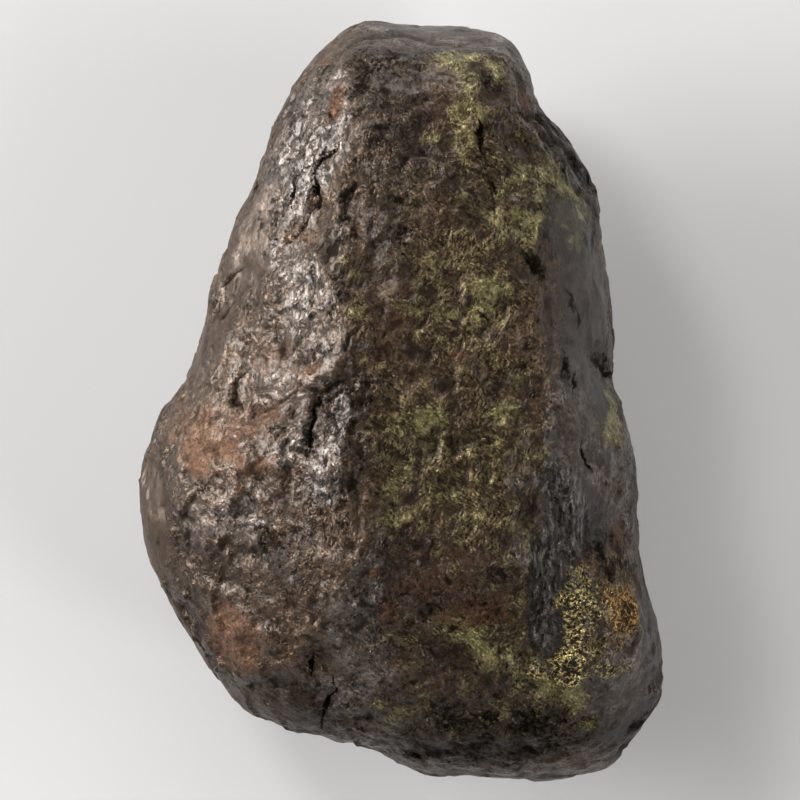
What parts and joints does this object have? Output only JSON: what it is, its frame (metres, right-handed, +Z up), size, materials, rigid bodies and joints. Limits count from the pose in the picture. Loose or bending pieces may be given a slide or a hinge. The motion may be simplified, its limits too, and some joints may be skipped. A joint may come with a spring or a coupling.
{
  "type": "iron meteorite",
  "caption": "Solid natural stone of iron, a tapered rounded block with a long ridge, hollows, ledges and pits, lying on its flattest side.",
  "frame": {"origin": "centre of the bounding box's base, on the surface that the stone lies on", "axes": "+Z up from that surface, +Y along the stone towards its narrow end, +X across it, to the right of the ridge"},
  "size_m": [0.0692, 0.1, 0.0471],
  "materials": {
    "iron_crust": "dark brown weathered iron, hammered and glossy, with rust and olive and gold patches"
  },
  "bodies": {
    "root": {"meteorite": "iron_crust"}
  },
  "joints": []
}
